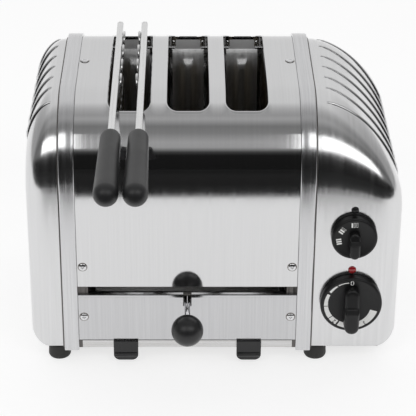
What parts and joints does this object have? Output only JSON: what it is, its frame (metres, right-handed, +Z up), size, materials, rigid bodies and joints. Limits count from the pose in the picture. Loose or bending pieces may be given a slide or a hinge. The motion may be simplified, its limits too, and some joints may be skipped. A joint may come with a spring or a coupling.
{
  "type": "pop up toaster",
  "caption": "Free-standing steel toaster with bread slots, a hand lever that lifts the racks, dial controls on one end, and a hinged sandwich cage in one slot.",
  "frame": {"origin": "on the plane under the feet, below the centre of the casing", "axes": "+Z up, +X to the user's right, -Y to the front where the lever is"},
  "size_m": [0.291, 0.3591, 0.2358],
  "materials": {
    "polished_steel": "polished",
    "polished_casting": "polished",
    "brushed_steel": "brushed",
    "inner_steel": "satin",
    "wire_steel": "satin",
    "chrome": "bright",
    "screw_steel": "bright",
    "rubber": "matt",
    "black_plastic": "satin black",
    "moulding": "matt",
    "mica": "flaky sheet",
    "heater_ribbon": "oxidised",
    "red_lens": "clear red"
  },
  "bodies": {
    "casing": {"band_left": "polished_steel", "band_right": "polished_steel", "base_plate": "inner_steel", "cable_gland": "black_plastic", "chassis_rail_front": "inner_steel", "chassis_rail_rear": "inner_steel", "cover_screws": "screw_steel", "end_casting_left": "polished_casting", "end_casting_right": "polished_casting", "end_plate_left": "inner_steel", "end_plate_right": "inner_steel", "foot_front_left": "rubber", "foot_front_right": "rubber", "foot_rear_left": "rubber", "foot_rear_right": "rubber", "foot_screws": "screw_steel", "front_panel": "brushed_steel", "guard_grille_1": "wire_steel", "guard_grille_2": "wire_steel", "guard_grille_3": "wire_steel", "guide_rods": "inner_steel", "heater_board_1": "mica", "heater_board_2": "mica", "heater_board_3": "mica", "heater_board_4": "mica", "heater_windings": "heater_ribbon", "index_stud": "black_plastic", "lever_bearings": "inner_steel", "neon_lens": "red_lens", "panel_screws": "screw_steel", "rear_panel": "brushed_steel", "selector_body": "moulding", "slot_guide_1": "chrome", "slot_guide_2": "chrome", "slot_guide_3": "chrome", "terminal_block": "moulding", "timer_body": "moulding", "top_cover": "polished_steel"},
    "timer_control": {"timer_knob": "black_plastic", "timer_spindle": "inner_steel"},
    "selector_control": {"selector_knob": "black_plastic", "selector_spindle": "inner_steel"},
    "eject_lever": {"lever_shaft": "inner_steel", "lever_arm_left": "inner_steel", "lever_arm_right": "inner_steel", "lever_rod": "chrome", "lever_ball": "black_plastic"},
    "rack_carriage": {"carriage_frame": "inner_steel", "bread_rack_1": "wire_steel", "bread_rack_2": "wire_steel", "bread_rack_3": "wire_steel"},
    "crumb_tray": {"crumb_tray": "brushed_steel", "tray_tab_left": "black_plastic", "tray_tab_right": "black_plastic"},
    "cage_left": {"cage_half_left": "wire_steel", "cage_handle_left": "black_plastic", "cage_pin": "wire_steel"},
    "cage_right": {"cage_half_right": "wire_steel", "cage_handle_right": "black_plastic"}
  },
  "joints": [
    {"name": "eject_lever", "type": "hinge", "parent": "casing", "child": "eject_lever", "pos_m": [-0.021, -0.093, 0.058], "axis": [-1, 0, 0], "range_deg": [0, 30]},
    {"name": "rack_lift", "type": "slide", "parent": "casing", "child": "rack_carriage", "axis": [0, 0, 1], "range_m": [-0.027, 0]},
    {"name": "selector_turn", "type": "hinge", "parent": "casing", "child": "selector_control", "pos_m": [0.1077, -0.107, 0.1164], "axis": [0, 1, 0], "range_deg": [0, 90]},
    {"name": "timer_turn", "type": "hinge", "parent": "casing", "child": "timer_control", "pos_m": [0.1077, -0.107, 0.0572], "axis": [0, 1, 0], "range_deg": [0, 255]},
    {"name": "tray_slide", "type": "slide", "parent": "casing", "child": "crumb_tray", "axis": [0, -1, 0], "range_m": [0, 0.185]},
    {"name": "cage_lift", "type": "slide", "parent": "casing", "child": "cage_left", "axis": [0, 0, 1], "range_m": [0, 0.16]},
    {"name": "cage_open", "type": "hinge", "parent": "cage_left", "child": "cage_right", "pos_m": [-0.06595, 0, 0.102], "axis": [0, 1, 0], "range_deg": [0, 8]}
  ],
  "couplings": [
    {"joint": "rack_lift", "follows": "eject_lever", "m_per_rad": -0.05141},
    {"joint": "cage_open", "follows": "cage_lift", "rad_per_m": 0.85}
  ]
}
